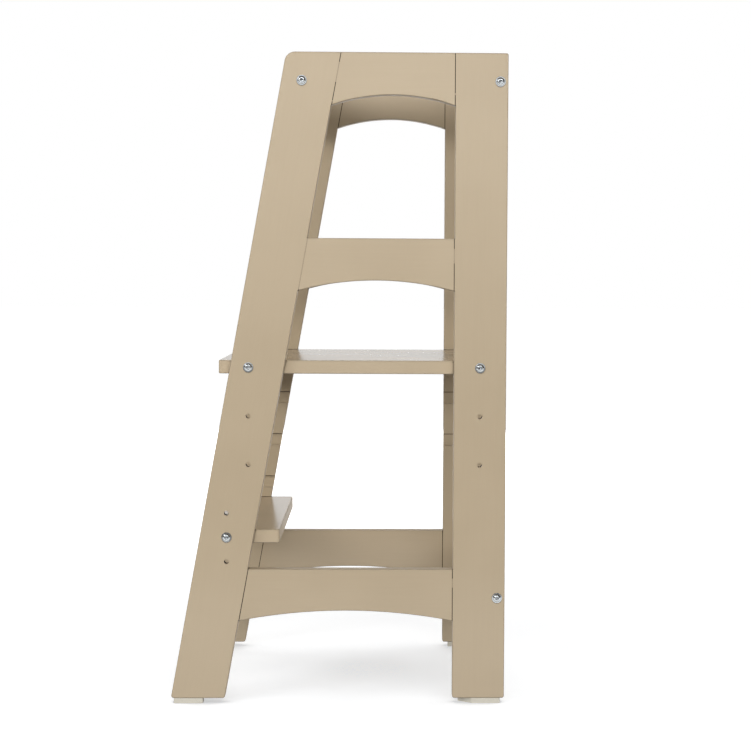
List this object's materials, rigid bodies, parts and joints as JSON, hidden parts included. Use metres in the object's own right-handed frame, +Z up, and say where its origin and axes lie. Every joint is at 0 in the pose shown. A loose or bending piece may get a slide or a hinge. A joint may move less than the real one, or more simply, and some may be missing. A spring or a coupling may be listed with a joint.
{
  "type": "toddler kitchen helper stool",
  "caption": "Wooden standing tower for a small child at a counter: leaning front legs, arched side rails, and a platform and a step that bolt into housings at a choice of heights.",
  "frame": {"origin": "on the floor, under the middle of the box round the stool", "axes": "+X to the right hand of a child who faces the counter, across the stool; +Y from the step side to the counter side; +Z up"},
  "size_m": [0.4066, 0.4474, 0.87],
  "materials": {
    "sand_lacquer": "satin sand-coloured lacquer on wood",
    "zinc_steel": "bright zinc plating",
    "beech_dowel": "raw beech",
    "foot_pad": "matt off-white"
  },
  "bodies": {
    "root": {"back_lower_rail": "sand_lacquer", "back_lower_rail_dowels": "beech_dowel", "back_top_rail": "sand_lacquer", "back_top_rail_dowels": "beech_dowel", "front_top_rail": "sand_lacquer", "front_top_rail_dowels": "beech_dowel", "left_back_foot_pad": "foot_pad", "left_back_leg": "sand_lacquer", "left_back_lower_rail_bolt": "zinc_steel", "left_back_lower_rail_nut": "zinc_steel", "left_back_top_rail_bolt": "zinc_steel", "left_back_top_rail_nut": "zinc_steel", "left_front_foot_pad": "foot_pad", "left_front_leg": "sand_lacquer", "left_front_top_rail_bolt": "zinc_steel", "left_front_top_rail_nut": "zinc_steel", "left_lower_side_dowels": "beech_dowel", "left_lower_side_rail": "sand_lacquer", "left_middle_side_dowels": "beech_dowel", "left_middle_side_rail": "sand_lacquer", "left_platform_back_bolt": "zinc_steel", "left_platform_back_nut": "zinc_steel", "left_platform_front_bolt": "zinc_steel", "left_platform_front_nut": "zinc_steel", "left_step_bolt": "zinc_steel", "left_step_nut": "zinc_steel", "left_top_side_dowels": "beech_dowel", "left_top_side_rail": "sand_lacquer", "platform": "sand_lacquer", "right_back_foot_pad": "foot_pad", "right_back_leg": "sand_lacquer", "right_back_lower_rail_bolt": "zinc_steel", "right_back_lower_rail_nut": "zinc_steel", "right_back_top_rail_bolt": "zinc_steel", "right_back_top_rail_nut": "zinc_steel", "right_front_foot_pad": "foot_pad", "right_front_leg": "sand_lacquer", "right_front_top_rail_bolt": "zinc_steel", "right_front_top_rail_nut": "zinc_steel", "right_lower_side_dowels": "beech_dowel", "right_lower_side_rail": "sand_lacquer", "right_middle_side_dowels": "beech_dowel", "right_middle_side_rail": "sand_lacquer", "right_platform_back_bolt": "zinc_steel", "right_platform_back_nut": "zinc_steel", "right_platform_front_bolt": "zinc_steel", "right_platform_front_nut": "zinc_steel", "right_step_bolt": "zinc_steel", "right_step_nut": "zinc_steel", "right_top_side_dowels": "beech_dowel", "right_top_side_rail": "sand_lacquer", "step": "sand_lacquer"}
  },
  "joints": []
}
